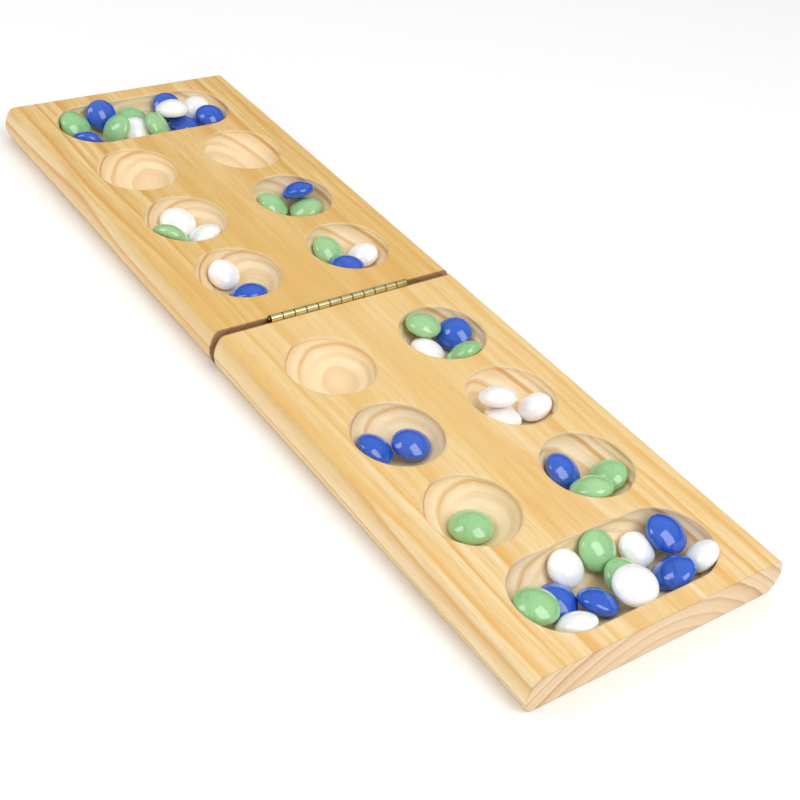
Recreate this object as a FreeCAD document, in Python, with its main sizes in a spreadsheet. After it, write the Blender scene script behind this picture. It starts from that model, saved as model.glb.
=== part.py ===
import FreeCAD, Part
import math
import os
import Sketcher

from FreeCAD import Placement, Rotation, Vector

# A folding wooden mancala board with its brass hinge and its forty-eight glass stones.
# Two equal halves meet at the fold. Each has six round pits in two rows of three and one long store
# at its outer end. Millimetres throughout. The origin is on the underside, in the middle of the opened
# board: X runs along the board towards the half that folds over, Y across it and Z up.

SIZES = [
    # alias, value, meaning
    ("board_length", 440.0, "both halves, opened flat"),
    ("board_width", 133.0, "across the rounded long edges"),
    ("board_thickness", 17.5, "top face to underside"),
    ("edge_swell", 4.7, "how far a long edge stands out past the flat top"),
    ("edge_corner", 3.0, "radius of the tight curve at the top and bottom of a long edge"),
    ("fold_gap", 3.4, "between the two halves when open, filled by the hinge barrel"),
    ("pit_radius", 20.05, "inside the wall of a pit"),
    ("pit_depth", 13.5, "top face to the lowest point of a pit or store"),
    ("wall_curve", 7.0, "radius of the curve from the wall to the floor"),
    ("rim_curve", 1.2, "rounding of the rim"),
    ("first_pit", 39.1, "fold line to the nearest pit's middle"),
    ("pit_spacing", 50.5, "middle to middle along a row"),
    ("row_offset", 30.7, "middle of the board to the middle of a row"),
    ("store_offset", 190.6, "fold line to the middle of a store"),
    ("store_straight", 56.8, "straight part of a store, across the board"),
    ("fold_rise", 0.6, "hinge pin above the top face, half the gap when folded shut"),
    ("hinge_length", 75.6, "twelve knuckles end to end"),
    ("hinge_knuckles", 12, "knuckles, every second one on the same leaf"),
    ("hinge_play", 0.1, "gap between neighbouring knuckles"),
    ("barrel_diameter", 3.4, "outside of a knuckle"),
    ("knuckle_bore", 1.7, "hole for the pin"),
    ("pin_diameter", 1.6, "hinge pin"),
    ("leaf_depth", 12.5, "pin to the lower edge of a leaf"),
    ("leaf_thickness", 0.8, "brass sheet"),
    ("leaf_play", 0.15, "gap between a leaf and the other leaf's knuckles"),
    ("pin_overhang", 0.4, "rounded pin end outside the last knuckle"),
    ("screw_drop", 8.0, "pin down to the screws"),
    ("screw_spacing", 27.0, "screw to screw along a leaf"),
    ("screw_count", 3, "screws in one leaf"),
    ("screw_diameter", 2.2, "over the thread"),
    ("screw_head", 4.0, "across the countersunk head"),
    ("screw_length", 12.0, "head face to tip"),
    ("screw_point", 3.0, "tapered point"),
    ("screw_tip", 0.55, "across the blunt tip"),
    ("recess_length", 2.4, "cross recess, tip to tip of a bar"),
    ("recess_width", 0.65, "width of a bar of the cross"),
    ("recess_depth", 0.55, "depth of the cross"),
    ("stone_small", 7.9, "radius of a small stone"),
    ("stone_medium", 8.5, "radius of a middling stone"),
    ("stone_large", 9.2, "radius of a large stone"),
    ("stone_dome", 0.57, "height of the domed top over the radius"),
    ("stone_base", 0.43, "depth of the flatter underside over the radius"),
    ("stone_rim", 0.30, "roundness of the rim over the radius"),
    ("stone_clearance", 0.12, "air left under a stone where it touches"),
]

# How the stones lie. Each place is named by its half and either its store or its row and its number
# counted from the fold. Each stone has its colour, its size, and its middle's distance from the middle
# of its place along X and Y. Stones are listed in the order they went in: later ones lie on earlier ones.
HEAPS = {
    "fixed_store": [
        ("green", "large", -9.5, -36.0),
        ("blue", "medium", -14.0, -19.0),
        ("green", "medium", -9.5, -2.5),
        ("blue", "medium", -13.0, 20.5),
        ("white", "small", -8.5, 36.0),
        ("white", "medium", 3.5, -6.5),
        ("green", "medium", 8.0, 3.5),
        ("blue", "medium", 2.5, 22.5),
        ("blue", "small", 4.5, 37.5),
        ("blue", "medium", 9.5, -38.0),
        ("green", "medium", 3.0, -18.5),
        ("white", "large", -0.5, 16.5),
    ],
    "fixed_left_2": [
        ("white", "large", -8.0, 0.5),
        ("green", "large", 4.5, -10.5),
        ("white", "medium", 7.5, 6.5),
    ],
    "fixed_left_1": [
        ("white", "small", -10.0, -1.5),
        ("blue", "large", 8.5, 1.0),
    ],
    "fixed_right_2": [
        ("green", "medium", -5.5, -7.5),
        ("green", "medium", 3.0, 7.0),
        ("blue", "medium", -6.5, 7.5),
    ],
    "fixed_right_1": [
        ("green", "medium", -8.5, -4.5),
        ("white", "small", 1.0, 9.5),
        ("blue", "medium", 7.5, -4.5),
    ],
    "folding_left_2": [
        ("blue", "medium", -3.0, -8.0),
        ("blue", "medium", 2.5, 6.5),
    ],
    "folding_left_3": [
        ("green", "large", 1.0, 1.0),
    ],
    "folding_right_1": [
        ("white", "medium", 0.5, -7.0),
        ("blue", "medium", -3.5, 10.5),
        ("green", "medium", 13.5, 3.0),
        ("green", "medium", -11.0, -2.5),
    ],
    "folding_right_2": [
        ("white", "medium", 3.0, -5.0),
        ("white", "small", 5.5, 10.5),
        ("white", "medium", -2.0, -6.0),
    ],
    "folding_right_3": [
        ("blue", "medium", -7.5, -5.0),
        ("green", "medium", 4.5, 9.5),
        ("green", "large", 10.0, -5.5),
    ],
    "folding_store": [
        ("white", "small", -12.0, -13.0),
        ("green", "medium", -13.0, 4.0),
        ("white", "small", -8.0, 22.0),
        ("blue", "large", -6.5, 35.5),
        ("white", "small", 10.0, 39.0),
        ("blue", "large", 10.0, 24.0),
        ("green", "medium", 1.5, 5.5),
        ("blue", "medium", -2.0, -25.5),
        ("blue", "medium", 7.0, -13.0),
        ("white", "medium", 13.0, -30.0),
        ("green", "large", 0.0, -39.0),
        ("white", "large", 10.5, 1.5),
    ],
}

ALONG_LEAF = "Sizes.screw_spacing * (Sizes.screw_count - 1)"
KNUCKLE_WIDTH = "Sizes.hinge_length / Sizes.hinge_knuckles"
LEAF_FRONT = "Sizes.barrel_diameter / 2 - Sizes.leaf_thickness"
BULGE = (
    "((Sizes.board_thickness / 2 - Sizes.edge_corner)^2 + Sizes.edge_swell^2 - Sizes.edge_corner^2)"
    " / (2 * (Sizes.edge_swell - Sizes.edge_corner))"
)
LID = 1.0  # how far a cutting profile reaches past the face it cuts
GRID = 0.5  # spacing of the upright lines along which stones are lowered
FIRST_LEAN = math.radians(14)  # first change of lean tried while a stone settles
LAST_LEAN = math.radians(2.5)  # smallest change of lean worth trying
STEEPEST = math.radians(50)  # a stone leaning further than this would slide
LEAST_DROP = 0.001  # a lean has to lower the stone by at least this much
NOTHING = -99.0  # height where nothing lies
PUSH = 0.08  # length of one step when a settled stone is moved clear
MOST_PUSHES = 40

doc = FreeCAD.newDocument("Mancala")


def make_sheet():
    """The spreadsheet that holds every driving dimension."""
    made = doc.addObject("Spreadsheet::Sheet", "Sizes")
    for row, (alias, value, meaning) in enumerate(SIZES, start=1):
        made.set(f"A{row}", alias)
        made.set(f"B{row}", str(value))
        made.set(f"C{row}", meaning)
        made.setAlias(f"B{row}", alias)
    doc.recompute()
    return made


sheet = make_sheet()


def size(alias):
    return float(sheet.get(alias))


def origin_feature(body, role):
    return next(feature for feature in body.Origin.OriginFeatures if feature.Role == role)


def new_sketch(body, name, plane, offset=None, rotation=None):
    """A sketch on an origin plane, moved by expressions for the plane's own x, y and z."""
    sketch = body.newObject("Sketcher::SketchObject", name)
    sketch.AttachmentSupport = [(origin_feature(body, plane), "")]
    sketch.MapMode = "FlatFace"
    sketch.AttachmentOffset = Placement(Vector(), rotation or Rotation())
    for axis, expression in (offset or {}).items():
        sketch.setExpression(f"AttachmentOffset.Base.{axis}", expression)
    return sketch


def arc(middle, radius, start, end):
    """A counter-clockwise arc between two directions in degrees."""
    circle = Part.Circle(middle, Vector(0, 0, 1), radius)
    return Part.ArcOfCircle(circle, math.radians(start), math.radians(end))


def towards(degrees):
    return Vector(math.cos(math.radians(degrees)), math.sin(math.radians(degrees)))


def nearest_end(sketch, piece, point):
    return min((1, 2), key=lambda end: sketch.getPoint(piece, end).distanceToPoint(point))


def join(sketch, one, other, point, kind="Coincident"):
    """Joins the ends of two pieces that meet at the point, smoothly if the kind is Tangent."""
    ends = nearest_end(sketch, one, point), nearest_end(sketch, other, point)
    sketch.addConstraint(Sketcher.Constraint(kind, one, ends[0], other, ends[1]))


def drive(sketch, expression, kind, *where):
    """Adds a dimension and binds it to the sheet."""
    number = sketch.addConstraint(Sketcher.Constraint(kind, *where, 1.0 * sheet.evalExpression(expression)))
    sketch.setExpression(f"Constraints[{number}]", expression)


def polygon(sketch, corners):
    """Straight lines from each corner to the next and back to the first."""
    for number, corner in enumerate(corners):
        sketch.addGeometry(Part.LineSegment(corner, corners[(number + 1) % len(corners)]))
    for number in range(len(corners)):
        following = (number + 1) % len(corners)
        join(sketch, number, following, corners[following])


def big_radius(reach, rise, tight):
    """Radius of the long arc of a quarter oval whose short arc, at the end of its reach, is tight."""
    return ((reach - tight) ** 2 + rise**2 - tight**2) / (2 * (rise - tight))


def volume_now(body):
    """The body's volume with every feature so far brought up to date."""
    doc.recompute()
    return body.Shape.Volume


def cut_check(body, before):
    """Raises an error when the newest feature removed nothing."""
    if not volume_now(body) < before:
        raise RuntimeError(f"{body.Label}: {body.Tip.Name} cut nothing")


def new_body(label):
    body = doc.addObject("PartDesign::Body", label)
    body.Label = label
    return body


def turned_half(side):
    """Where a piece drawn for the folding half goes: as drawn, or turned about for the fixed half."""
    return Rotation() if side == "folding" else Rotation(Vector(0, 0, 1), 180)


def pattern(body, name, features, role, length, count):
    """Repeats features along an axis of the body, the last one the given length from the first."""
    made = body.newObject("PartDesign::LinearPattern", name)
    made.Originals = features
    made.Direction = (origin_feature(body, role), [""])
    made.setExpression("Length", length)
    made.setExpression("Occurrences", count)
    body.Tip = made
    return made


# ---------------------------------------------------------------- the board


def edge_section(body):
    """The outline across a board half: flat above and below, with swelling long edges."""
    sketch = new_sketch(body, "Section", "YZ_Plane", {"z": "Sizes.fold_gap / 2"})
    top, corner = size("board_thickness"), size("edge_corner")
    flat = size("board_width") / 2 - size("edge_swell")
    bulge = big_radius(top / 2, size("edge_swell"), corner)
    bulge_at = size("board_width") / 2 - bulge
    meet = math.degrees(math.atan2(top / 2 - corner, flat - bulge_at))
    sketch.addGeometry(Part.LineSegment(Vector(flat, top), Vector(-flat, top)))
    sketch.addGeometry(Part.LineSegment(Vector(-flat, 0), Vector(flat, 0)))
    for side, turn in ((1, 0), (-1, 180)):
        upper, lower = (meet, 90) if side > 0 else (90, 180 - meet)
        sketch.addGeometry(arc(Vector(side * flat, top - corner), corner, upper, lower))
        sketch.addGeometry(arc(Vector(side * bulge_at, top / 2), bulge, turn - meet, turn + meet))
        sketch.addGeometry(arc(Vector(side * flat, corner), corner, -lower, -upper))
    over, under = 0, 1
    for side, first in ((1, 2), (-1, 5)):
        near_top, long_edge, near_bottom = first, first + 1, first + 2
        tip = towards(meet) * bulge
        join(sketch, over, near_top, Vector(side * flat, top), "Tangent")
        join(sketch, near_top, long_edge, Vector(side * (bulge_at + tip.x), top / 2 + tip.y), "Tangent")
        join(sketch, long_edge, near_bottom, Vector(side * (bulge_at + tip.x), top / 2 - tip.y), "Tangent")
        join(sketch, near_bottom, under, Vector(side * flat, 0), "Tangent")
        sketch.addConstraint(Sketcher.Constraint("Vertical", near_top, 3, near_bottom, 3))
        drive(sketch, "Sizes.edge_corner", "Radius", near_top)
        drive(sketch, "Sizes.edge_corner", "Radius", near_bottom)
        drive(sketch, BULGE, "Radius", long_edge)
        ends = (-1, 1, near_top, 3) if side > 0 else (near_top, 3, -1, 1)
        drive(sketch, "Sizes.board_width / 2 - Sizes.edge_swell", "DistanceX", *ends)
    sketch.addConstraint(Sketcher.Constraint("Horizontal", over))
    sketch.addConstraint(Sketcher.Constraint("Horizontal", under))
    sketch.addConstraint(Sketcher.Constraint("PointOnObject", under, 1, -1))
    drive(sketch, "Sizes.board_thickness", "DistanceY", -1, 1, over, 1)
    return sketch


def dish_section(body, name, offset, rotation=None):
    """Half a section through a pit or store, from its middle out to the rim and up past the top face."""
    sketch = new_sketch(body, name, "XZ_Plane", offset, rotation)
    top, reach = size("board_thickness"), size("pit_radius")
    rim, wall = size("rim_curve"), size("wall_curve")
    level, bottom = top - rim, top - size("pit_depth")
    floor = big_radius(reach, level - bottom, wall)
    floor_middle, wall_middle = Vector(0, bottom + floor), Vector(reach - wall, level)
    meet = math.degrees(math.atan2(level - floor_middle.y, wall_middle.x))
    foot = floor_middle + towards(meet) * floor
    lip = Vector(reach + rim, top)
    outer_lid, inner_lid = Vector(lip.x, top + LID), Vector(0, top + LID)
    sketch.addGeometry(arc(floor_middle, floor, -90, meet))
    sketch.addGeometry(arc(wall_middle, wall, meet, 0))
    sketch.addGeometry(arc(Vector(reach + rim, level), rim, 90, 180))
    sketch.addGeometry(Part.LineSegment(lip, outer_lid))
    sketch.addGeometry(Part.LineSegment(outer_lid, inner_lid))
    sketch.addGeometry(Part.LineSegment(inner_lid, Vector(0, bottom)))
    join(sketch, 0, 1, foot, "Tangent")
    join(sketch, 1, 2, Vector(reach, level), "Tangent")
    join(sketch, 2, 3, lip)
    join(sketch, 3, 4, outer_lid)
    join(sketch, 4, 5, inner_lid)
    join(sketch, 5, 0, Vector(0, bottom))
    sketch.addConstraint(Sketcher.Constraint("PointOnObject", 0, 3, -2))
    sketch.addConstraint(Sketcher.Constraint("PointOnObject", 5, 1, -2))
    sketch.addConstraint(Sketcher.Constraint("Vertical", 5))
    sketch.addConstraint(Sketcher.Constraint("Vertical", 3))
    sketch.addConstraint(Sketcher.Constraint("Horizontal", 4))
    sketch.addConstraint(Sketcher.Constraint("Vertical", 3, 1, 2, 3))
    drive(sketch, "Sizes.board_thickness - Sizes.pit_depth", "DistanceY", -1, 1, 5, 2)
    drive(sketch, "Sizes.wall_curve", "Radius", 1)
    drive(sketch, "Sizes.rim_curve", "Radius", 2)
    drive(sketch, "Sizes.board_thickness - Sizes.rim_curve", "DistanceY", -1, 1, 1, 3)
    drive(sketch, "Sizes.board_thickness - Sizes.rim_curve", "DistanceY", -1, 1, 2, 3)
    drive(sketch, "Sizes.pit_radius - Sizes.wall_curve", "DistanceX", -1, 1, 1, 3)
    drive(sketch, f"Sizes.board_thickness + {LID}", "DistanceY", -1, 1, 5, 1)
    return sketch


def turn_out(body, name, sketch):
    """Cuts a round dish by turning its section about its own upright axis."""
    before = volume_now(body)
    groove = body.newObject("PartDesign::Groove", name)
    groove.Profile = sketch
    groove.ReferenceAxis = (sketch, ["V_Axis"])
    groove.Angle = 360
    cut_check(body, before)
    return groove


def cut_pits(body, row, offset):
    sketch = dish_section(body, f"{row}PitSection", {"x": "Sizes.first_pit", "z": offset})
    pit = turn_out(body, f"{row}Pit", sketch)
    before = volume_now(body)
    pattern(body, f"{row}Pits", [pit], "X_Axis", "Sizes.pit_spacing * 2", "3")
    cut_check(body, before)


def cut_store(body):
    """A trough with straight sides, one side at a time, then a round end at each end of it."""
    for name, rotation in (("Inner", Rotation(Vector(0, 1, 0), 180)), ("Outer", Rotation())):
        sketch = dish_section(body, f"{name}StoreSection", {"x": "Sizes.store_offset"}, rotation)
        before = volume_now(body)
        trough = body.newObject("PartDesign::Pocket", f"{name}Store")
        trough.Profile = sketch
        trough.SideType = "Symmetric"
        trough.setExpression("Length", "Sizes.store_straight")
        cut_check(body, before)
    for name, sign in (("Left", ""), ("Right", "-")):
        place = {"x": "Sizes.store_offset", "z": f"{sign}Sizes.store_straight / 2"}
        turn_out(body, f"{name}StoreEnd", dish_section(body, f"{name}StoreEndSection", place))


def cut_screw_holes(body):
    """Blind holes in the end face at the fold, one for each screw of the hinge leaf."""
    sketch = new_sketch(body, "ScrewHole", "YZ_Plane", {"z": "Sizes.fold_gap / 2"})
    first, level = size("screw_spacing"), size("board_thickness") + size("fold_rise") - size("screw_drop")
    sketch.addGeometry(Part.Circle(Vector(-first, level), Vector(0, 0, 1), size("screw_diameter") / 2))
    drive(sketch, "Sizes.screw_diameter / 2", "Radius", 0)
    drive(sketch, "Sizes.screw_spacing * (Sizes.screw_count - 1) / 2", "DistanceX", 0, 3, -1, 1)
    drive(sketch, "Sizes.board_thickness + Sizes.fold_rise - Sizes.screw_drop", "DistanceY", -1, 1, 0, 3)
    before = volume_now(body)
    hole = body.newObject("PartDesign::Pocket", "ScrewHole1")
    hole.Profile = sketch
    hole.Reversed = True
    hole.setExpression("Length", "Sizes.screw_length - Sizes.leaf_thickness")
    cut_check(body, before)
    pattern(body, "ScrewHoles", [hole], "Y_Axis", ALONG_LEAF, "Sizes.screw_count")


def board_half(side):
    body = new_body(f"board_half_{side}")
    pad = body.newObject("PartDesign::Pad", "Board")
    pad.Profile = edge_section(body)
    pad.setExpression("Length", "(Sizes.board_length - Sizes.fold_gap) / 2")
    cut_pits(body, "Left", "Sizes.row_offset")
    cut_pits(body, "Right", "-Sizes.row_offset")
    cut_store(body)
    cut_screw_holes(body)
    body.Placement = Placement(Vector(), turned_half(side))
    return body


# ---------------------------------------------------------------- the hinge


def leaf_plate_section(body):
    """The part of a leaf below the knuckles, a flat strip against the end face of its board half."""
    sketch = new_sketch(body, "PlateSection", "XZ_Plane")
    back, front = size("barrel_diameter") / 2, size("barrel_diameter") / 2 - size("leaf_thickness")
    high, low = -back - size("leaf_play"), -size("leaf_depth")
    polygon(sketch, [Vector(front, low), Vector(back, low), Vector(back, high), Vector(front, high)])
    for number, kind in enumerate(("Horizontal", "Vertical", "Horizontal", "Vertical")):
        sketch.addConstraint(Sketcher.Constraint(kind, number))
    drive(sketch, "Sizes.barrel_diameter / 2 - Sizes.leaf_thickness", "DistanceX", -1, 1, 0, 1)
    drive(sketch, "Sizes.barrel_diameter / 2", "DistanceX", -1, 1, 0, 2)
    drive(sketch, "Sizes.leaf_depth", "DistanceY", 0, 1, -1, 1)
    drive(sketch, "Sizes.barrel_diameter / 2 + Sizes.leaf_play", "DistanceY", 2, 1, -1, 1)
    return sketch


def knuckle_section(body):
    """A knuckle curled from the top of the leaf, with the bore for the pin."""
    place = {"z": "(Sizes.hinge_length - Sizes.hinge_play) / 2"}
    sketch = new_sketch(body, "KnuckleSection", "XZ_Plane", place)
    outside = size("barrel_diameter") / 2
    inner = outside - size("leaf_thickness")
    low = -outside - size("leaf_play")
    end = -math.acos(inner / outside)
    curled = Vector(inner, outside * math.sin(end))
    sketch.addGeometry(Part.LineSegment(Vector(outside, low), Vector(outside, 0)))
    sketch.addGeometry(arc(Vector(), outside, 0, 360 + math.degrees(end)))
    sketch.addGeometry(Part.LineSegment(curled, Vector(inner, low)))
    sketch.addGeometry(Part.LineSegment(Vector(inner, low), Vector(outside, low)))
    sketch.addGeometry(Part.Circle(Vector(), Vector(0, 0, 1), size("knuckle_bore") / 2))
    join(sketch, 0, 1, Vector(outside, 0), "Tangent")
    join(sketch, 1, 2, curled)
    join(sketch, 2, 3, Vector(inner, low))
    join(sketch, 3, 0, Vector(outside, low))
    sketch.addConstraint(Sketcher.Constraint("Vertical", 0))
    sketch.addConstraint(Sketcher.Constraint("Vertical", 2))
    sketch.addConstraint(Sketcher.Constraint("Horizontal", 3))
    sketch.addConstraint(Sketcher.Constraint("Coincident", 1, 3, -1, 1))
    sketch.addConstraint(Sketcher.Constraint("Coincident", 4, 3, -1, 1))
    drive(sketch, "Sizes.barrel_diameter / 2", "Radius", 1)
    drive(sketch, "Sizes.knuckle_bore / 2", "Radius", 4)
    drive(sketch, "Sizes.barrel_diameter / 2 - Sizes.leaf_thickness", "DistanceX", -1, 1, 2, 2)
    drive(sketch, "Sizes.barrel_diameter / 2 + Sizes.leaf_play", "DistanceY", 2, 2, -1, 1)
    return sketch


def screw_place(number):
    """Where a screw sits along the leaf, as an expression."""
    return f"Sizes.screw_spacing * ({number} - (Sizes.screw_count - 1) / 2)"


def cut_countersink(body, number):
    """A conical hole through the leaf, wide at the front face."""
    before = volume_now(body)
    cone = body.newObject("PartDesign::SubtractiveCone", "Countersink")
    cone.Placement = Placement(Vector(), Rotation(Vector(0, 1, 0), 90))
    cone.setExpression("Radius1", "Sizes.screw_head / 2")
    cone.setExpression("Radius2", "Sizes.screw_diameter / 2")
    cone.setExpression("Height", "Sizes.leaf_thickness")
    cone.setExpression("Placement.Base.x", LEAF_FRONT)
    cone.setExpression("Placement.Base.y", screw_place(number))
    cone.setExpression("Placement.Base.z", "-Sizes.screw_drop")
    cut_check(body, before)


def hinge_leaf(side):
    body = new_body(f"hinge_leaf_{side}")
    plate = body.newObject("PartDesign::Pad", "Plate")
    plate.Profile = leaf_plate_section(body)
    plate.SideType = "Symmetric"
    plate.setExpression("Length", "Sizes.hinge_length")
    knuckle = body.newObject("PartDesign::Pad", "Knuckle")
    knuckle.Profile = knuckle_section(body)
    knuckle.Reversed = True
    knuckle.setExpression("Length", f"{KNUCKLE_WIDTH} - Sizes.hinge_play")
    doc.recompute()
    reach = f"Sizes.hinge_length - 2 * {KNUCKLE_WIDTH}"
    pattern(body, "Knuckles", [knuckle], "Y_Axis", reach, "Sizes.hinge_knuckles / 2")
    for number in range(int(size("screw_count"))):
        cut_countersink(body, number)
    place_on_pin(body, side)
    return body


def place_on_pin(body, side):
    """Sets a piece drawn around the pin at the fold, level with the pin."""
    body.Placement = Placement(Vector(0, 0, size("board_thickness") + size("fold_rise")), turned_half(side))


def screw_section(body, number):
    """Half a section along a screw: countersunk head, plain shank and tapered point."""
    place = {"y": "-Sizes.screw_drop", "z": f"-({screw_place(number)})"}
    sketch = new_sketch(body, f"ScrewSection{number}", "XZ_Plane", place)
    front, back = size("barrel_diameter") / 2 - size("leaf_thickness"), size("barrel_diameter") / 2
    head, thread, blunt = (size(name) / 2 for name in ("screw_head", "screw_diameter", "screw_tip"))
    tip = front + size("screw_length")
    taper = tip - size("screw_point")
    outline = [(front, 0), (front, head), (back, thread), (taper, thread), (tip, blunt), (tip, 0)]
    polygon(sketch, [Vector(*corner) for corner in outline])
    for kind, line in (("Vertical", 0), ("Horizontal", 2), ("Vertical", 4)):
        sketch.addConstraint(Sketcher.Constraint(kind, line))
    sketch.addConstraint(Sketcher.Constraint("PointOnObject", 0, 1, -1))
    sketch.addConstraint(Sketcher.Constraint("PointOnObject", 5, 1, -1))
    drive(sketch, LEAF_FRONT, "DistanceX", -1, 1, 0, 1)
    drive(sketch, "Sizes.screw_head / 2", "DistanceY", -1, 1, 1, 1)
    drive(sketch, "Sizes.barrel_diameter / 2", "DistanceX", -1, 1, 2, 1)
    drive(sketch, "Sizes.screw_diameter / 2", "DistanceY", -1, 1, 2, 1)
    drive(sketch, f"{LEAF_FRONT} + Sizes.screw_length - Sizes.screw_point", "DistanceX", -1, 1, 3, 1)
    drive(sketch, f"{LEAF_FRONT} + Sizes.screw_length", "DistanceX", -1, 1, 4, 1)
    drive(sketch, "Sizes.screw_tip / 2", "DistanceY", -1, 1, 4, 1)
    return sketch


def cut_recess(body, number, upright, across):
    """One bar of the cross recess in a screw's head."""
    before = volume_now(body)
    bar = body.newObject("PartDesign::SubtractiveBox", "Recess")
    bar.setExpression("Length", "Sizes.recess_depth")
    bar.setExpression("Width", across)
    bar.setExpression("Height", upright)
    bar.setExpression("Placement.Base.x", LEAF_FRONT)
    bar.setExpression("Placement.Base.y", f"{screw_place(number)} - {across} / 2")
    bar.setExpression("Placement.Base.z", f"-Sizes.screw_drop - {upright} / 2")
    cut_check(body, before)


def screw_row(side):
    """The wood screws of one leaf, all alike, with a cross recess in the head."""
    body = new_body(f"hinge_screws_{side}")
    for number in range(int(size("screw_count"))):
        section = screw_section(body, number)
        screw = body.newObject("PartDesign::Revolution", "Screw")
        screw.Profile = section
        screw.ReferenceAxis = (section, ["H_Axis"])
        screw.Angle = 360
        cut_recess(body, number, "Sizes.recess_length", "Sizes.recess_width")
        cut_recess(body, number, "Sizes.recess_width", "Sizes.recess_length")
    place_on_pin(body, side)
    return body


def hinge_pin():
    body = new_body("hinge_pin")
    sketch = new_sketch(body, "PinSection", "XZ_Plane")
    sketch.addGeometry(Part.Circle(Vector(), Vector(0, 0, 1), size("pin_diameter") / 2))
    sketch.addConstraint(Sketcher.Constraint("Coincident", 0, 3, -1, 1))
    drive(sketch, "Sizes.pin_diameter / 2", "Radius", 0)
    rod = body.newObject("PartDesign::Pad", "Rod")
    rod.Profile = sketch
    rod.SideType = "Symmetric"
    rod.setExpression("Length", "Sizes.hinge_length + 2 * Sizes.pin_overhang")
    doc.recompute()
    rounded = body.newObject("PartDesign::Fillet", "RoundedEnds")
    rims = [f"Edge{n}" for n, edge in enumerate(rod.Shape.Edges, 1) if isinstance(edge.Curve, Part.Circle)]
    rounded.Base = (rod, rims)
    rounded.setExpression("Radius", "Sizes.pin_overhang")
    doc.recompute()
    place_on_pin(body, "folding")
    return body


# ---------------------------------------------------------------- how the stones lie


def middle_of(place):
    """Where the middle of a pit or store lies, and how long its straight part is."""
    half, *pit = place.split("_")
    side = 1 if half == "folding" else -1
    if pit == ["store"]:
        return side * size("store_offset"), 0.0, size("store_straight")
    row, number = pit
    along = size("first_pit") + (int(number) - 1) * size("pit_spacing")
    return side * along, size("row_offset") * (1 if row == "right" else -1), 0.0


def dish_height(across, along, straight):
    """Height of the wood below the top face (negative) at a point of a pit or store."""
    far = math.hypot(across, max(0.0, abs(along) - straight / 2))
    reach, wall, rim, depth = size("pit_radius"), size("wall_curve"), size("rim_curve"), size("pit_depth")
    floor = big_radius(reach, depth - rim, wall)
    foot = (reach - wall) * floor / (floor - wall)
    if far >= reach + rim:
        return 0.0
    if far >= reach:
        return math.sqrt(rim**2 - (reach + rim - far) ** 2) - rim
    if far > foot:
        return -rim - math.sqrt(wall**2 - (far - reach + wall) ** 2)
    return floor - depth - math.sqrt(floor**2 - far**2)


def stone_span(radius, axis, u, v):
    """Lowest and highest point of a leaning stone on the upright line at (u, v) from its middle.

    The stone is bounded by two half ellipsoids, the dome above its rim and the base below it.
    """
    tilt = u * axis.x + v * axis.y
    found = []
    for half, depth in ((1, size("stone_dome") * radius), (-1, size("stone_base") * radius)):
        flat, steep = 1 / radius**2, 1 / depth**2
        square = (1 - axis.z**2) * flat + axis.z**2 * steep
        linear = tilt * axis.z * (steep - flat)
        rest = (u * u + v * v - tilt * tilt) * flat + tilt * tilt * steep - 1
        inside = linear * linear - square * rest
        if inside >= 0:
            roots = [(-linear + sign * math.sqrt(inside)) / square for sign in (-1, 1)]
            found += [height for height in roots if half * (tilt + height * axis.z) >= 0]
    return (min(found), max(found)) if found else None


def leaning(about_x, about_y):
    """The axis of a stone leaning by an angle towards X and an angle towards Y."""
    lean = math.hypot(about_x, about_y)
    if not lean:
        return Vector(0, 0, 1)
    sideways = Vector(about_x, about_y, 0) * (math.sin(lean) / lean)
    return sideways + Vector(0, 0, math.cos(lean))


def cells_under(stone):
    """The grid points near a stone, given its middle and radius."""
    x, y, radius = stone
    reach = int(radius / GRID) + 1
    for i in range(round(x / GRID) - reach, round(x / GRID) + reach + 1):
        for j in range(round(y / GRID) - reach, round(y / GRID) + reach + 1):
            yield i, j


def rest_height(stone, axis, heap, straight):
    """Height of the stone's middle when it is lowered onto the wood and the stones already there."""
    x, y, radius = stone
    height = NOTHING
    for i, j in cells_under(stone):
        span = stone_span(radius, axis, i * GRID - x, j * GRID - y)
        if span:
            under = max(dish_height(i * GRID, j * GRID, straight), heap.get((i, j), NOTHING))
            height = max(height, under - span[0])
    return height + size("stone_clearance")


def settle(stone, heap, straight):
    """Leans a stone whichever way lowers it, until it lies still, and adds it to the heap."""
    lean, height, step = (0.0, 0.0), rest_height(stone, leaning(0, 0), heap, straight), FIRST_LEAN
    while step > LAST_LEAN:
        for dx, dy in ((step, 0), (-step, 0), (0, step), (0, -step)):
            tried = (lean[0] + dx, lean[1] + dy)
            if math.hypot(*tried) <= STEEPEST:
                lower = rest_height(stone, leaning(*tried), heap, straight)
                if lower < height - LEAST_DROP:
                    lean, height = tried, lower
                    break
        else:
            step /= 2
    axis = leaning(*lean)
    x, y, radius = stone
    for i, j in cells_under(stone):
        span = stone_span(radius, axis, i * GRID - x, j * GRID - y)
        if span:
            heap[i, j] = max(heap.get((i, j), NOTHING), height + span[1])
    return height, axis


# ---------------------------------------------------------------- the stones


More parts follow.
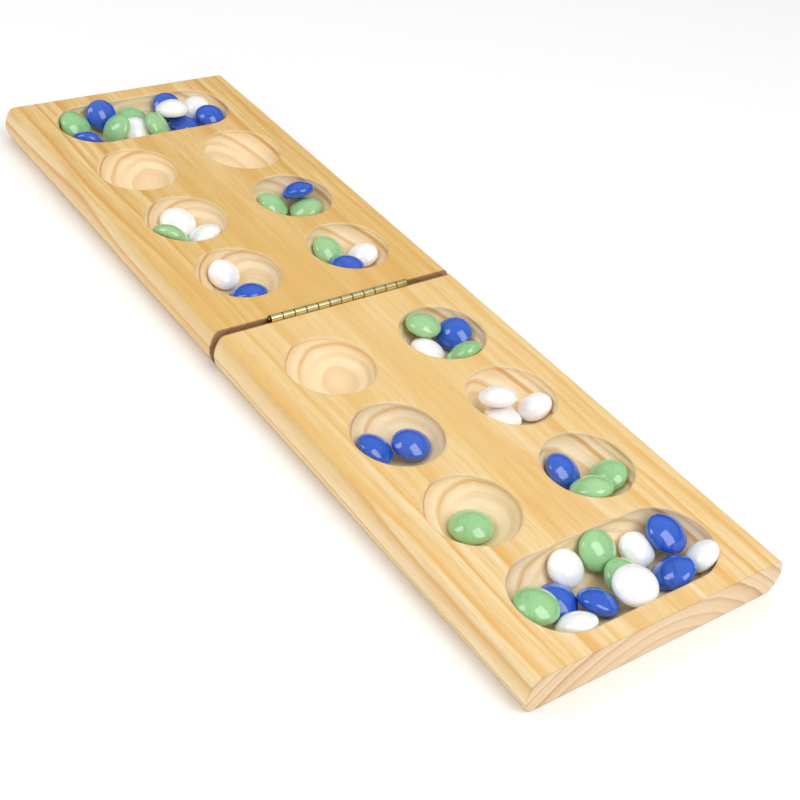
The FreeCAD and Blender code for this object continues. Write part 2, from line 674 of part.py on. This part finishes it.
def stone_section(body, radius_name):
    """Half a section through a stone: domed above, flatter below, with a round rim."""
    sketch = new_sketch(body, "Section", "XZ_Plane")
    radius = size(radius_name)
    rim, dome, base = (radius * size(name) for name in ("stone_rim", "stone_dome", "stone_base"))
    over, under = big_radius(radius, dome, rim), big_radius(radius, base, rim)
    over_turn = math.degrees(math.atan2(over - dome, radius - rim))
    under_turn = -math.degrees(math.atan2(under - base, radius - rim))
    over_meet = Vector(0, dome - over) + towards(over_turn) * over
    under_meet = Vector(0, under - base) + towards(under_turn) * under
    sketch.addGeometry(arc(Vector(0, dome - over), over, over_turn, 90))
    sketch.addGeometry(arc(Vector(radius - rim, 0), rim, under_turn, over_turn))
    sketch.addGeometry(arc(Vector(0, under - base), under, -90, under_turn))
    sketch.addGeometry(Part.LineSegment(Vector(0, -base), Vector(0, dome)))
    join(sketch, 0, 1, over_meet, "Tangent")
    join(sketch, 1, 2, under_meet, "Tangent")
    join(sketch, 2, 3, Vector(0, -base))
    join(sketch, 3, 0, Vector(0, dome))
    for point, axis in (((0, 3), -2), ((2, 3), -2), ((1, 3), -1), ((3, 1), -2), ((3, 2), -2)):
        sketch.addConstraint(Sketcher.Constraint("PointOnObject", *point, axis))
    drive(sketch, f"Sizes.{radius_name} * Sizes.stone_rim", "Radius", 1)
    drive(sketch, f"Sizes.{radius_name} * (1 - Sizes.stone_rim)", "DistanceX", -1, 1, 1, 3)
    drive(sketch, f"Sizes.{radius_name} * Sizes.stone_dome", "DistanceY", -1, 1, 3, 2)
    drive(sketch, f"Sizes.{radius_name} * Sizes.stone_base", "DistanceY", 3, 1, -1, 1)
    return sketch


def make_stone(label, radius_name, middle, axis):
    body = new_body(label)
    sketch = stone_section(body, radius_name)
    turned = body.newObject("PartDesign::Revolution", "Stone")
    turned.Profile = sketch
    turned.ReferenceAxis = (sketch, ["V_Axis"])
    turned.Angle = 360
    body.Placement = Placement(middle, Rotation(Vector(0, 0, 1), axis))
    return body


def cuts(one, other):
    return one.Shape.BoundBox.intersect(other.Shape.BoundBox) and one.Shape.common(other.Shape).Volume > 0


def push_clear(stone, wood, others, middle_line):
    """Moves a settled stone in small steps until it cuts into neither the wood nor another stone."""
    for _ in range(MOST_PUSHES):
        centre = stone.Placement.Base
        push = Vector()
        if cuts(stone, wood):
            push += (middle_line(centre) - centre).normalize() + Vector(0, 0, 1)
        for other in others:
            if cuts(stone, other):
                push += (centre - other.Placement.Base).normalize()
        if push.Length == 0:
            return
        stone.Placement = Placement(centre + push.normalize() * PUSH, stone.Placement.Rotation)
    raise RuntimeError(f"{stone.Label} found no free place")


def fill(place, stones, wood):
    """Makes the stones of one pit or store, each settled onto the ones before it."""
    x, y, straight = middle_of(place)

    def middle_line(point):
        along = max(-straight / 2, min(straight / 2, point.y - y))
        return Vector(x, y + along, point.z)

    heap, made = {}, []
    for number, (colour, radius, across, along) in enumerate(stones, start=1):
        radius_name = f"stone_{radius}"
        height, axis = settle((across, along, size(radius_name)), heap, straight)
        middle = Vector(x + across, y + along, size("board_thickness") + height)
        stone = make_stone(f"stone_{place}_{number:02d}_{colour}", radius_name, middle, axis)
        doc.recompute()
        push_clear(stone, wood, made, middle_line)
        made.append(stone)
    return made


# ---------------------------------------------------------------- build, check and write


def build():
    halves = {side: board_half(side) for side in ("fixed", "folding")}
    pieces = [*halves.values(), hinge_pin()]
    for side in halves:
        pieces += [hinge_leaf(side), screw_row(side)]
    doc.recompute()
    for place, stones in HEAPS.items():
        pieces += fill(place, stones, halves[place.split("_")[0]])
    return pieces


def check(pieces):
    failed = [thing.Name for thing in doc.Objects if {"Invalid", "Error"} & set(thing.State)]
    failed += [piece.Label for piece in pieces if piece.Shape.isNull() or not piece.Shape.isValid()]
    if failed:
        raise RuntimeError(f"not built: {failed}")


def write(pieces):
    os.makedirs("parts", exist_ok=True)
    for piece in pieces:
        piece.Shape.exportStep(os.path.join("parts", f"{piece.Label}.step"))


built = build()
check(built)
write(built)
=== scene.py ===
import math
from collections import namedtuple

import bpy
from mathutils import Matrix, Vector


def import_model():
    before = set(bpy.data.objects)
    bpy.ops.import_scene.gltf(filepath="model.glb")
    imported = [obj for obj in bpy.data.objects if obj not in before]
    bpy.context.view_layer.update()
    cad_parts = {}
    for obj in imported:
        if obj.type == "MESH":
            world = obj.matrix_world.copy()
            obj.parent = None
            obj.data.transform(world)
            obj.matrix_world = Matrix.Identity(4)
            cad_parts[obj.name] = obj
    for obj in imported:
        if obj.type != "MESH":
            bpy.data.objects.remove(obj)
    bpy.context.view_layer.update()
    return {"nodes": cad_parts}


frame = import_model()

# Lengths are metres, except inside materials, where they are millimetres.
MM = 0.001
SCENE = bpy.context.scene


# ---------------------------------------------------------------- node helpers


def srgb(red, green, blue):
    """A linear colour from 0-255 screen values."""
    def linear(value):
        value /= 255
        return value / 12.92 if value <= 0.04045 else ((value + 0.055) / 1.055) ** 2.4

    return (linear(red), linear(green), linear(blue), 1.0)


class Nodes:
    """Short calls for building one material's node tree."""

    def __init__(self, name):
        self.material = bpy.data.materials.new(name)
        self.material.use_nodes = True
        self.tree = self.material.node_tree
        self.tree.nodes.clear()

    def add(self, kind, inputs=None, **settings):
        node = self.tree.nodes.new(kind)
        for key, value in settings.items():
            setattr(node, key, value)
        for key, value in (inputs or {}).items():
            self.feed(node.inputs[key], value)
        return node

    def feed(self, socket, value):
        if isinstance(value, bpy.types.NodeSocket):
            self.tree.links.new(value, socket)
        else:
            socket.default_value = value

    def math(self, operation, *values, clamp=False):
        node = self.add("ShaderNodeMath", operation=operation, use_clamp=clamp)
        for socket, value in zip(node.inputs, values):
            self.feed(socket, value)
        return node.outputs[0]

    def vector(self, operation, *values):
        node = self.add("ShaderNodeVectorMath", operation=operation)
        for socket, value in zip(node.inputs, values):
            self.feed(socket, value)
        return node.outputs["Value" if operation == "LENGTH" else "Vector"]

    def ramp(self, value, stops):
        """A curve through the stops, each a place from 0 to 1 and its value."""
        node = self.add("ShaderNodeValToRGB", {"Fac": value})
        elements = node.color_ramp.elements
        while len(elements) < len(stops):
            elements.new(0.5)
        for element, (place, level) in zip(elements, stops):
            element.position = place
            element.color = (level, level, level, 1)
        return node.outputs["Color"]

    def step(self, value, first, second):
        """A smooth fade, 0 up to the first value and 1 from the second on, whichever is higher."""
        node = self.add("ShaderNodeMapRange", {"Value": value, "From Min": first, "From Max": second})
        node.interpolation_type = "SMOOTHSTEP"
        return node.outputs["Result"]

    def mix(self, factor, one, other):
        node = self.add("ShaderNodeMix", data_type="RGBA")
        for socket, value in ((node.inputs[0], factor), (node.inputs[6], one), (node.inputs[7], other)):
            self.feed(socket, value)
        return node.outputs[2]

    def noise(self, vector, scale, detail, roughness=0.5, distortion=0.0):
        node = self.add("ShaderNodeTexNoise", {"Vector": vector, "Scale": scale, "Detail": detail})
        self.feed(node.inputs["Roughness"], roughness)
        self.feed(node.inputs["Distortion"], distortion)
        return node.outputs["Fac"]

    def millimetres(self):
        """The place on the object, in millimetres, in the object's own axes."""
        node = self.add("ShaderNodeVectorMath", operation="SCALE")
        self.feed(node.inputs["Vector"], self.add("ShaderNodeTexCoord").outputs["Object"])
        self.feed(node.inputs["Scale"], 1 / MM)
        return node.outputs["Vector"]

    def own_normal(self):
        """The surface normal in the object's own axes, so that it turns with the board."""
        world = self.add("ShaderNodeNewGeometry").outputs["Normal"]
        node = self.add("ShaderNodeVectorTransform", {"Vector": world})
        node.vector_type, node.convert_from, node.convert_to = "NORMAL", "WORLD", "OBJECT"
        return node.outputs["Vector"]

    def wander(self, vector, period, detail, reach):
        """A smooth random shift, up to about half of reach, repeating over about the period."""
        scaled = self.vector("MULTIPLY", vector, tuple(1 / length for length in period))
        node = self.add("ShaderNodeTexNoise", {"Vector": scaled, "Scale": 1.0, "Detail": detail})
        centred = self.vector("SUBTRACT", node.outputs["Color"], (0.5, 0.5, 0.5))
        return self.vector("MULTIPLY", centred, reach)

    def finish(self, shader):
        output = self.add("ShaderNodeOutputMaterial")
        self.tree.links.new(shader.outputs[0], output.inputs["Surface"])
        return self.material


# ---------------------------------------------------------------- wood

# Radius of each dark line of late wood around the pith in mm, and how dark the line is.
RINGS = (
    (56.0, 0.0), (62.5, 0.5), (69.5, 0.5), (77.3, 0.65), (85.0, 1.0), (88.6, 0.45),
    (91.5, 1.0), (97.5, 0.9), (103.0, 0.8), (110.0, 0.7),
)
RING_SPAN = RINGS[-1][0] - RINGS[0][0]
RING_MIDDLE = 0.62  # share of the way through a ring where it has begun to darken
MIDDLE_DARKNESS = 0.38  # how dark it is there, compared with its line
LINE_EDGE = 0.3  # mm over which a line of late wood ends

NOISE_SHIFT = (611.0, 47.0, 83.0)  # mm from one board's part of the noise to the next

# How the rings leave their circles: period in mm along, across and through the board.
DRIFT_PERIOD = (170, 80, 80)
WOBBLE_PERIOD = (60, 9, 9)
WOBBLE_REACH = 2.0  # mm

# The faint lines inside a ring, and how strong they are on top and on the wall of a pit.
RIPPLE_SPACING = 1.7  # mm
RIPPLE_FADE = (0.45, 0.68)
RIPPLE_OUTSIDE, RIPPLE_ON_WALL = 0.14, 0.32

# Marks along the grain: period in mm along, across and through the board, detail and roughness
# of the noise, the noise values between which the mark fades in, and how strongly it colours.
Mark = namedtuple("Mark", "period detail roughness fade share")
CLOUDS = Mark((70, 22, 22), 2.0, 0.5, (0.40, 0.68), 0.45)
STREAKS = Mark((48, 3.2, 3.2), 2.0, 0.5, (0.44, 0.68), 0.42)
FIBRES = Mark((22, 1.1, 1.1), 4.0, 0.6, (0.42, 0.66), 0.38)
PORES = Mark((7, 0.3, 0.3), 1.0, 0.5, (0.62, 0.76), 0.20)

# Each fade is 0 at its first value and 1 at its second.
# Distances from the board's middle line, from the fold and above the underside, in mm:
INSIDE_MARGIN = (57.0, 55.0)
LONG_EDGE = (60.0, 63.0)
INSIDE_END = (216.0, 214.0)
PAST_FOLD = (6.0, 9.0)
TOWARDS_FOLD = (200.0, 15.0)
FOLD_FACE = (2.6, 2.0)
BELOW_TOP = (16.9, 15.6)
ABOVE_UNDERSIDE = (1.0, 3.0)
AT_RIM = (15.8, 17.0)
# How much the surface faces up or down (1 when level), and the same along the grain:
PIT_WALL = (0.95, 0.75)
STEEP = (0.85, 0.30)
RIM_ROUND = (0.995, 0.80)
FACING_ALONG = (0.15, 0.80)

BARE_EARLY = srgb(252, 236, 202)
BARE_LATE = srgb(216, 164, 98)
BARE_CONTRAST = 1.3  # above 1, the lines of late wood are narrower in bare wood
BARE_IN_PIT, BARE_ON_WALL, BARE_ON_EDGE = 0.64, 0.14, 0.36
END_EARLY = srgb(228, 201, 164)
END_LATE = srgb(184, 142, 100)
END_SHARE = 0.80
# Painted shade: the faces at the fold are darkened where the gap between the halves lies in shade.
FOLD_PAINTED_SHADE = srgb(140, 88, 52)
FOLD_SHADE_SHARE = 0.65
# Painted highlight: a pale line round the rounded rims of the pits.
RIM_PAINTED_HIGHLIGHT = srgb(246, 228, 190)
RIM_HIGHLIGHT_SHARE = 0.28
PORE_COLOUR = srgb(165, 108, 55)

# Relief in mm: raised fibres and late wood, and the slow unevenness of a sanded face.
FIBRE_RELIEF, LATE_RELIEF, SANDING_RELIEF = 0.05, 0.04, 0.10
SANDING_SCALE = 0.16  # waves per mm
RELIEF_STRENGTH = 0.35
EASED_EDGE = 0.9 * MM
ROUGHNESS, FIBRE_ROUGHNESS = 0.40, 0.16


def ring_stops():
    """Ramp stops: each ring darkens slowly outwards and ends with its sharp dark line."""
    stops = []
    for (inner, _), (outer, darkness) in zip(RINGS, RINGS[1:]):
        middle = inner + RING_MIDDLE * (outer - inner)
        stops.append((inner + LINE_EDGE, 0.0))
        stops.append((middle + LINE_EDGE, MIDDLE_DARKNESS * darkness))
        stops.append((outer - LINE_EDGE, darkness))
    return [((radius - RINGS[0][0]) / RING_SPAN, value) for radius, value in stops]


def board_place(n, place):
    """Distances from the fold and from the middle line, and the height, in mm."""
    axes = n.add("ShaderNodeSeparateXYZ", {"Vector": place})
    from_fold, from_middle = (n.math("ABSOLUTE", axes.outputs[axis]) for axis in "XY")
    return from_fold, from_middle, axes.outputs["Z"]


def board_facing(n):
    """How much the surface faces up or down, and how much along the grain."""
    axes = n.add("ShaderNodeSeparateXYZ", {"Vector": n.own_normal()})
    return n.math("ABSOLUTE", axes.outputs["Z"]), n.math("ABSOLUTE", axes.outputs["X"])


def pit_field(n, from_fold, from_middle):
    """1 over the pits and stores, 0 on the margins round them."""
    field = n.math("MULTIPLY", n.step(from_middle, *INSIDE_MARGIN), n.step(from_fold, *INSIDE_END))
    return n.math("MULTIPLY", field, n.step(from_fold, *PAST_FOLD))


def ring_radius(n, place, shifted, pith, drift_reach):
    """Distance from the pith, slowly wandering along the board and a little ragged."""
    drift = n.wander(shifted, DRIFT_PERIOD, 1.0, (0, drift_reach, drift_reach))
    wobble = n.wander(shifted, WOBBLE_PERIOD, 3.0, (0, WOBBLE_REACH, WOBBLE_REACH))
    bent = n.vector("ADD", n.vector("ADD", place, drift), wobble)
    across = n.vector("MULTIPLY", n.vector("SUBTRACT", bent, (0, *pith)), (0, 1, 1))
    return n.vector("LENGTH", across)


def late_wood(n, radius, dished, wall, end_grain):
    """How dark the growth rings are here: their lines and the faint lines between them."""
    outward = n.math("DIVIDE", n.math("SUBTRACT", radius, RINGS[0][0]), RING_SPAN)
    lines = n.ramp(outward, ring_stops())
    along_radius = n.math("DIVIDE", radius, RIPPLE_SPACING)
    ripple = n.add("ShaderNodeTexNoise", {"W": along_radius, "Scale": 1.0}, noise_dimensions="1D")
    outside = n.math("MULTIPLY", n.math("SUBTRACT", 1.0, dished), RIPPLE_OUTSIDE)
    strength = n.math("ADD", outside, n.math("MULTIPLY", wall, RIPPLE_ON_WALL))
    strength = n.math("MULTIPLY", strength, n.math("SUBTRACT", 1.0, end_grain))
    ripple = n.math("MULTIPLY", n.step(ripple.outputs["Fac"], *RIPPLE_FADE), strength)
    return n.math("ADD", lines, ripple, clamp=True)


def mark_noise(n, shifted, mark):
    """Noise stretched along the grain."""
    stretched = n.vector("MULTIPLY", shifted, tuple(1 / length for length in mark.period))
    return n.noise(stretched, 1.0, mark.detail, mark.roughness)


def marked(n, colour, noise, mark, mark_colour):
    """The colour with a mark drawn over it where its noise is high."""
    share = n.math("MULTIPLY", n.step(noise, *mark.fade), mark.share)
    return n.mix(share, colour, mark_colour)


def wood_relief(n, place, fibres, late):
    """The bumps of the surface, over edges that look slightly rounded."""
    height = n.math("ADD", n.math("MULTIPLY", fibres, FIBRE_RELIEF), n.math("MULTIPLY", late, LATE_RELIEF))
    sanding = n.math("MULTIPLY", n.noise(place, SANDING_SCALE, 2.0), SANDING_RELIEF)
    height = n.math("ADD", height, sanding)
    eased = n.add("ShaderNodeBevel", {"Radius": EASED_EDGE}, samples=4)
    bump = n.add("ShaderNodeBump", {"Height": height, "Strength": RELIEF_STRENGTH, "Distance": MM})
    n.feed(bump.inputs["Normal"], eased.outputs["Normal"])
    return bump.outputs["Normal"]


def wood(name, seed, pith, drift_reach, colours, deepening):
    """Varnished pine sawn along X, its colour deepening towards the fold.

    The growth rings run round a pith line below the board. Pits, stores, long edges and ends of the
    grain look barer and paler than the top. The faces at the fold get painted shade.
    """
    early, late_colour, cloud_colour, fibre_colour = colours
    n = Nodes(name)
    place = n.millimetres()
    shifted = n.vector("ADD", place, tuple(seed * length for length in NOISE_SHIFT))
    from_fold, from_middle, height = board_place(n, place)
    upright, along_grain = board_facing(n)

    field = pit_field(n, from_fold, from_middle)
    depth = n.math("MULTIPLY", n.step(height, *BELOW_TOP), n.step(height, *ABOVE_UNDERSIDE))
    dished = n.math("MULTIPLY", field, depth)
    wall = n.math("MULTIPLY", dished, n.step(upright, *PIT_WALL))
    edge = n.math("MULTIPLY", n.step(from_middle, *LONG_EDGE), n.step(upright, *STEEP))
    end_grain = n.math("MULTIPLY", n.step(along_grain, *FACING_ALONG), n.math("SUBTRACT", 1.0, dished))
    rim = n.math("MULTIPLY", n.step(height, *AT_RIM), n.step(upright, *RIM_ROUND))
    rim = n.math("MULTIPLY", rim, field)

    late = late_wood(n, ring_radius(n, place, shifted, pith, drift_reach), dished, wall, end_grain)
    fibres = mark_noise(n, shifted, FIBRES)
    colour = n.mix(late, early, late_colour)
    colour = marked(n, colour, mark_noise(n, shifted, CLOUDS), CLOUDS, cloud_colour)
    colour = marked(n, colour, mark_noise(n, shifted, STREAKS), STREAKS, late_colour)
    colour = marked(n, colour, fibres, FIBRES, fibre_colour)
    colour = n.mix(n.math("MULTIPLY", n.step(from_fold, *TOWARDS_FOLD), deepening), colour, cloud_colour)

    bareness = n.math("ADD", n.math("MULTIPLY", dished, BARE_IN_PIT), n.math("MULTIPLY", wall, BARE_ON_WALL))
    bareness = n.math("ADD", bareness, n.math("MULTIPLY", edge, BARE_ON_EDGE))
    bare = n.mix(n.math("POWER", late, BARE_CONTRAST), BARE_EARLY, BARE_LATE)
    colour = n.mix(bareness, colour, bare)
    cut_across = n.mix(late, END_EARLY, END_LATE)
    colour = n.mix(n.math("MULTIPLY", end_grain, END_SHARE), colour, cut_across)
    # Painted shade on the faces at the fold, in the gap between the two halves.
    colour = n.mix(n.math("MULTIPLY", n.step(from_fold, *FOLD_FACE), FOLD_SHADE_SHARE), colour, FOLD_PAINTED_SHADE)
    # Painted highlight along the pit rims.
    colour = n.mix(n.math("MULTIPLY", rim, RIM_HIGHLIGHT_SHARE), colour, RIM_PAINTED_HIGHLIGHT)
    colour = marked(n, colour, mark_noise(n, shifted, PORES), PORES, PORE_COLOUR)

    shader = n.add(
        "ShaderNodeBsdfPrincipled",
        {
            "Base Color": colour,
            "Roughness": n.math("ADD", ROUGHNESS, n.math("MULTIPLY", fibres, FIBRE_ROUGHNESS)),
            "Normal": wood_relief(n, place, fibres, late),
            "Coat Weight": 0.15,
            "Coat Roughness": 0.22,
            "Specular IOR Level": 0.35,
        },
    )
    return n.finish(shader)


# ---------------------------------------------------------------- glass

CLEAR_GLASS = srgb(226, 240, 190)  # what the colour of a stone varies towards
SWIRL_AXIS = (0.3, 1.0, 0.5)
SWIRL_WAVES = (0.09, 0.55, 0.2)  # per mm along each axis
SWIRL_DETAIL, SWIRL_ROUGHNESS, SWIRL_BEND = 3.0, 0.55, 0.8
SWIRL_FADE = (0.50, 0.72)
DIMPLE_WAVES, DIMPLE_STRENGTH = 0.22, 0.22


def glass(name, light, deep, swirl_strength, variety):
    """Opaque pressed glass with faint darker swirls, turned differently in each stone."""
    n = Nodes(name)
    place = n.millimetres()
    own = n.add("ShaderNodeObjectInfo").outputs["Random"]
    angle = n.math("MULTIPLY", own, math.tau)
    turned = n.add("ShaderNodeVectorRotate", {"Vector": place, "Angle": angle}, rotation_type="AXIS_ANGLE")
    turned.inputs["Axis"].default_value = SWIRL_AXIS
    stretched = n.vector("MULTIPLY", turned.outputs[0], SWIRL_WAVES)
    streaks = n.noise(stretched, 1.0, SWIRL_DETAIL, SWIRL_ROUGHNESS, SWIRL_BEND)
    swirl = n.math("MULTIPLY", n.step(streaks, *SWIRL_FADE), swirl_strength)
    colour = n.mix(swirl, light, deep)
    colour = n.mix(n.math("MULTIPLY", own, variety), colour, CLEAR_GLASS)
    dimples = n.noise(place, DIMPLE_WAVES, 1.0)
    bump = n.add("ShaderNodeBump", {"Height": dimples, "Strength": DIMPLE_STRENGTH, "Distance": MM})
    shader = n.add(
        "ShaderNodeBsdfPrincipled",
        {
            "Base Color": colour,
            "Roughness": 0.10,
            "IOR": 1.52,
            "Normal": bump.outputs["Normal"],
            "Subsurface Weight": 0.12,
            "Subsurface Scale": 1.5 * MM,
            "Coat Weight": 0.8,
            "Coat Roughness": 0.03,
        },
    )
    return n.finish(shader)


# ---------------------------------------------------------------- brass

HINGE_LENGTH = 75.6  # mm
KNUCKLE = HINGE_LENGTH / 12  # one of twelve
KNUCKLE_GAP = (0.42, 0.16)  # fade, mm from the middle of a gap
ABOVE_LEAVES = (15.8, 16.1)  # fade, height in mm
# Painted shade: the gaps between the knuckles are darkened nearly to black.
GAP_SHADE_SHARE = 0.92
BRIGHT_BRASS = srgb(246, 238, 180)
DULL_BRASS = srgb(216, 204, 140)
KNUCKLE_GAP_SHADE = srgb(38, 30, 14)
TARNISH_WAVES = 0.12  # per mm
TARNISH_FADE = (0.50, 0.80)


def brass(name):
    """Bright rolled brass with painted shade in the gaps between the knuckles."""
    n = Nodes(name)
    place = n.millimetres()
    tarnish = n.noise(place, TARNISH_WAVES, 1.0)
    colour = n.mix(n.step(tarnish, *TARNISH_FADE), BRIGHT_BRASS, DULL_BRASS)
    axes = n.add("ShaderNodeSeparateXYZ", {"Vector": place})
    from_end = n.math("ADD", axes.outputs["Y"], HINGE_LENGTH / 2)
    from_gap = n.math("PINGPONG", from_end, KNUCKLE / 2)
    gap = n.math("MULTIPLY", n.step(from_gap, *KNUCKLE_GAP), n.step(axes.outputs["Z"], *ABOVE_LEAVES))
    # Painted shade in the gaps between the knuckles.
    colour = n.mix(n.math("MULTIPLY", gap, GAP_SHADE_SHARE), colour, KNUCKLE_GAP_SHADE)
    shader = n.add("ShaderNodeBsdfPrincipled", {"Base Color": colour, "Metallic": 1.0, "Roughness": 0.28})
    return n.finish(shader)


# ---------------------------------------------------------------- which piece gets which material


def dress(node_name, material):
    mesh = frame["nodes"][node_name].data
    mesh.materials.clear()
    mesh.materials.append(material)


# Colours of early wood, late wood, clouds and fibres.
PALE_PINE = (srgb(240, 220, 176), srgb(222, 170, 90), srgb(231, 193, 122), srgb(224, 172, 88))
HONEY_PINE = (srgb(237, 211, 154), srgb(210, 155, 74), srgb(223, 178, 98), srgb(212, 158, 76))
# For each board: its part of the noise, the pith's Y and Z in mm, how far the rings drift in mm, its
# colours and how much they deepen at the fold.
WOODS = {
    "fixed": wood("pine_fixed", 1.0, (4.0, -56.0), 9.0, HONEY_PINE, 0.55),
    "folding": wood("pine_folding", 2.0, (-1.0, -58.0), 8.0, PALE_PINE, 0.50),
}
BRASS = brass("polished_brass")
# For each colour: the glass, its swirls, how strong they are and how much the stones vary.
GLASS = {
    "blue": glass("blue_glass", srgb(36, 92, 202), srgb(20, 56, 156), 0.55, 0.02),
    "green": glass("green_glass", srgb(146, 202, 140), srgb(112, 176, 112), 0.5, 0.18),
    "white": glass("white_glass", srgb(251, 251, 251), srgb(240, 240, 243), 0.25, 0.0),
}

for side, material in WOODS.items():
    dress(f"board_half_{side}", material)
for node_name in frame["nodes"]:
    if node_name.startswith("hinge"):
        dress(node_name, BRASS)
    elif node_name.startswith("stone"):
        dress(node_name, GLASS[node_name.rsplit("_", 1)[1]])


# ---------------------------------------------------------------- floor, lights and camera


FLOOR_SIZE = 6.0
FLOOR_DROP = 0.0003  # below the board's underside, so that the two faces don't coincide
FLOOR_WHITE = (0.97, 0.97, 0.97, 1)


def direction(azimuth, elevation):
    """The unit vector towards an azimuth from +X and an elevation, both in degrees."""
    a, e = math.radians(azimuth), math.radians(elevation)
    return Vector((math.cos(e) * math.cos(a), math.cos(e) * math.sin(a), math.sin(e)))


def floor():
    bpy.ops.mesh.primitive_plane_add(size=FLOOR_SIZE, location=(0, 0, -FLOOR_DROP))
    plane = bpy.context.object
    plane.name = "floor"
    n = Nodes("floor_white")
    shader = n.add("ShaderNodeBsdfPrincipled", {"Base Color": FLOOR_WHITE, "Roughness": 0.9})
    plane.data.materials.append(n.finish(shader))


def soft_light(name, azimuth, elevation, distance, size, power, mirrored=True):
    """A rectangular softbox aimed at the middle of the board, mirrored in glossy surfaces or not."""
    data = bpy.data.lights.new(name, "AREA")
    data.shape = "RECTANGLE"
    data.size, data.size_y = size
    data.energy = power
    lamp = bpy.data.objects.new(name, data)
    SCENE.collection.objects.link(lamp)
    back = direction(azimuth, elevation)
    lamp.location = back * distance
    lamp.rotation_euler = (-back).to_track_quat("-Z", "Y").to_euler()
    lamp.visible_glossy = mirrored


HORIZON_FADE = (0.15, 0.75)  # sines of the elevations between which the mirrored world brightens


def world(strength, mirrored_horizon):
    """Even white light all round; mirrors see it fade towards the horizon like a real studio."""
    made = bpy.data.worlds.new("studio")
    made.use_nodes = True
    tree = made.node_tree
    background = tree.nodes["Background"]
    height = tree.nodes.new("ShaderNodeSeparateXYZ")
    tree.links.new(tree.nodes.new("ShaderNodeTexCoord").outputs["Generated"], height.inputs["Vector"])
    fade = tree.nodes.new("ShaderNodeMapRange")
    fade.interpolation_type = "SMOOTHSTEP"
    tree.links.new(height.outputs["Z"], fade.inputs["Value"])
    low, high = HORIZON_FADE
    limits = {"From Min": low, "From Max": high, "To Min": mirrored_horizon, "To Max": 1.0}
    for name, value in limits.items():
        fade.inputs[name].default_value = value
    seen = tree.nodes.new("ShaderNodeMix")
    tree.links.new(tree.nodes.new("ShaderNodeLightPath").outputs["Is Glossy Ray"], seen.inputs["Factor"])
    seen.inputs[2].default_value = 1.0
    tree.links.new(fade.outputs["Result"], seen.inputs[3])
    level = tree.nodes.new("ShaderNodeMath")
    level.operation = "MULTIPLY"
    tree.links.new(seen.outputs[0], level.inputs[0])
    level.inputs[1].default_value = strength
    tree.links.new(level.outputs[0], background.inputs["Strength"])
    background.inputs["Color"].default_value = (1, 1, 1, 1)
    SCENE.world = made


CAMERA_AZIMUTH = -42.24  # degrees from +X
CAMERA_ELEVATION = 37.45
CAMERA_ROLL = 10.88
CAMERA_DISTANCE = 0.5968
CAMERA_TARGET = (0.07205, -0.017, 0.0175)
SENSOR, LENS = 36.0, 63.42  # mm
NEAREST, FURTHEST = 0.02, 20.0


def camera():
    data = bpy.data.cameras.new("photo_camera")
    data.sensor_width, data.lens = SENSOR, LENS
    data.clip_start, data.clip_end = NEAREST, FURTHEST
    made = bpy.data.objects.new("photo_camera", data)
    SCENE.collection.objects.link(made)
    back = direction(CAMERA_AZIMUTH, CAMERA_ELEVATION)
    roll = math.radians(CAMERA_ROLL)
    right = (-back).cross(Vector((0, 0, 1))).normalized()
    up = right.cross(-back)
    tilted_right = math.cos(roll) * right + math.sin(roll) * up
    tilted_up = -math.sin(roll) * right + math.cos(roll) * up
    turn = Matrix((tilted_right, tilted_up, back)).transposed().to_4x4()
    made.matrix_world = Matrix.Translation(Vector(CAMERA_TARGET) + back * CAMERA_DISTANCE) @ turn
    SCENE.camera = made


floor()
world(strength=0.50, mirrored_horizon=0.1)
# Name, azimuth and elevation in degrees, distance and size in metres, power in watts.
soft_light("key_far_side", 125, 50, 2.6, (2.4, 1.6), 12.5, mirrored=False)
soft_light("fill_front", -42, 14, 1.5, (1.6, 0.5), 3.5, mirrored=False)
soft_light("softbox_left", -120, 42, 1.3, (0.50, 0.85), 4.0)
soft_light("softbox_right", 14, 52, 1.3, (0.75, 1.20), 8.5)
camera()
SCENE.view_settings.view_transform = "Standard"
SCENE.view_settings.look = "None"
